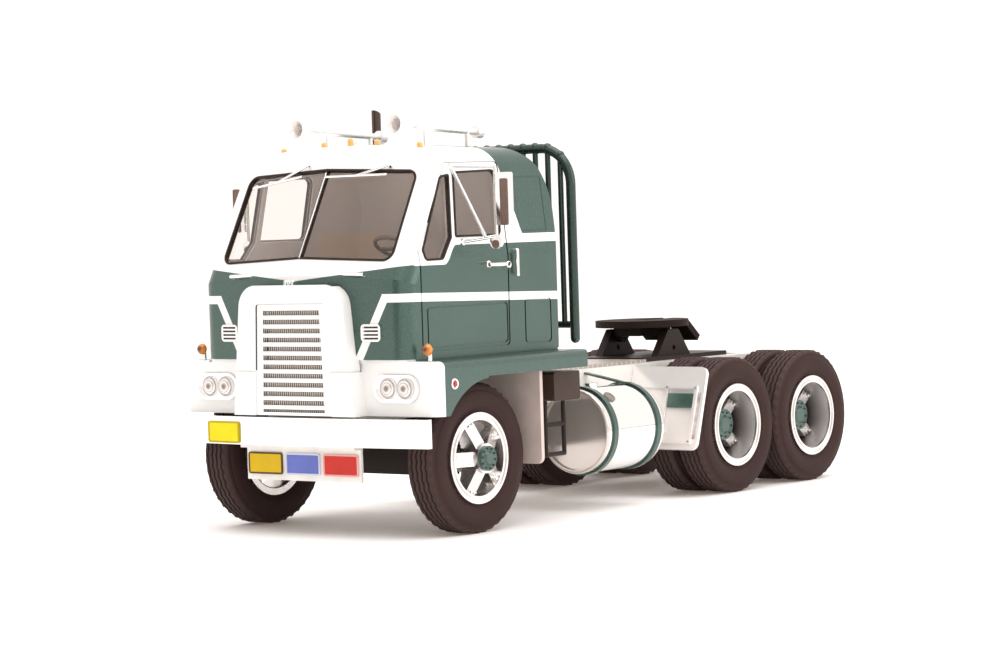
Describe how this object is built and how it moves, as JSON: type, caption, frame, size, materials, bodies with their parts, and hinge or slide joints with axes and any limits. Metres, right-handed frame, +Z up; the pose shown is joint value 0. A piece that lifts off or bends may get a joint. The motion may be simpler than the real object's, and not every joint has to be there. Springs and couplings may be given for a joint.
{
  "type": "cab-over semi truck tractor unit scale model",
  "caption": "Die-cast scale model of a vintage cab-over tractor unit with sleeper cab, chrome grille, fuel tanks, twin rear axles and a tilting fifth wheel.",
  "frame": {"origin": "on the ground under the middle of the model's bounding box", "axes": "+X forward, +Y to the vehicle's left, +Z up"},
  "size_m": [0.1338, 0.0634, 0.0728],
  "materials": {
    "paint_white": "two-tone white and green enamel on the cab casting",
    "paint_green": "metallic green enamel",
    "chrome_plate": "bright plated plastic",
    "clear_glass": "clear moulded glazing",
    "black_rubber": "black printed gasket",
    "amber_lens": "transparent amber plastic",
    "red_lens": "transparent red plastic",
    "clear_lens": "clear ribbed plastic",
    "tan_trim": "moulded interior, tan",
    "black_plastic": "black moulded plastic",
    "grey_plate": "light grey moulded plastic",
    "chequer_plate": "silver chequer plate",
    "frame_white": "off-white enamel",
    "tyre": "soft rubber",
    "steel_pin": "drawn steel wire",
    "wheel_silver": "silver plated plastic"
  },
  "bodies": {
    "chassis": {"cab_shell": "paint_white", "windscreen_glass": "clear_glass", "side_glass": "clear_glass", "window_gaskets": "black_rubber", "wipers": "chrome_plate", "front_vents": "chrome_plate", "front_grab_handles": "chrome_plate", "roof_markers": "amber_lens", "air_horns": "chrome_plate", "mirrors": "chrome_plate", "door_handles": "chrome_plate", "cab_interior": "tan_trim", "seats": "tan_trim", "steering_wheel": "black_plastic", "lower_body": "paint_green", "grille": "chrome_plate", "grille_backing": "black_plastic", "headlamp_bezels": "chrome_plate", "headlamp_lenses": "clear_lens", "turn_signals": "amber_lens", "signal_cups": "chrome_plate", "side_markers": "red_lens", "bumper": "chrome_plate", "plate_panel": "paint_white", "cab_rack": "paint_green", "exhaust_stack": "chrome_plate", "chassis_frame": "frame_white", "deck_plate": "chequer_plate", "engine_block": "black_plastic", "front_axle_beam": "black_plastic", "rear_axle_housings": "black_plastic", "springs": "black_plastic", "drive_shafts": "grey_plate", "fuel_tanks": "chrome_plate", "tank_straps": "paint_green", "battery_boxes": "black_plastic", "step_frames": "black_plastic", "front_flaps": "grey_plate", "quarter_guards": "chrome_plate", "fifth_wheel_base": "black_plastic", "tail_lamps": "red_lens"},
    "fifth_wheel": {"fifth_wheel_plate": "black_plastic"},
    "front_wheelset": {"front_axle_pin": "steel_pin", "front_rims": "wheel_silver", "front_hub_caps": "paint_green", "front_tyres": "tyre"},
    "rear_wheelset_1": {"rear_axle_pin_1": "steel_pin", "rear_rims_1": "wheel_silver", "rear_hub_caps_1": "paint_green", "rear_tyres_1": "tyre"},
    "rear_wheelset_2": {"rear_axle_pin_2": "steel_pin", "rear_rims_2": "wheel_silver", "rear_hub_caps_2": "paint_green", "rear_tyres_2": "tyre"}
  },
  "joints": [
    {"name": "front_wheels_spin", "type": "hinge", "parent": "chassis", "child": "front_wheelset", "pos_m": [0.0494, 0, 0.0126], "axis": [0, 1, 0], "continuous": true},
    {"name": "rear_wheels_1_spin", "type": "hinge", "parent": "chassis", "child": "rear_wheelset_1", "pos_m": [-0.0273, 0, 0.0126], "axis": [0, 1, 0], "continuous": true},
    {"name": "rear_wheels_2_spin", "type": "hinge", "parent": "chassis", "child": "rear_wheelset_2", "pos_m": [-0.0531, 0, 0.0126], "axis": [0, 1, 0], "continuous": true},
    {"name": "fifth_wheel_tilt", "type": "hinge", "parent": "chassis", "child": "fifth_wheel", "pos_m": [-0.0337, 0, 0.0294], "axis": [0, 1, 0], "range_deg": [-10, 10]}
  ]
}
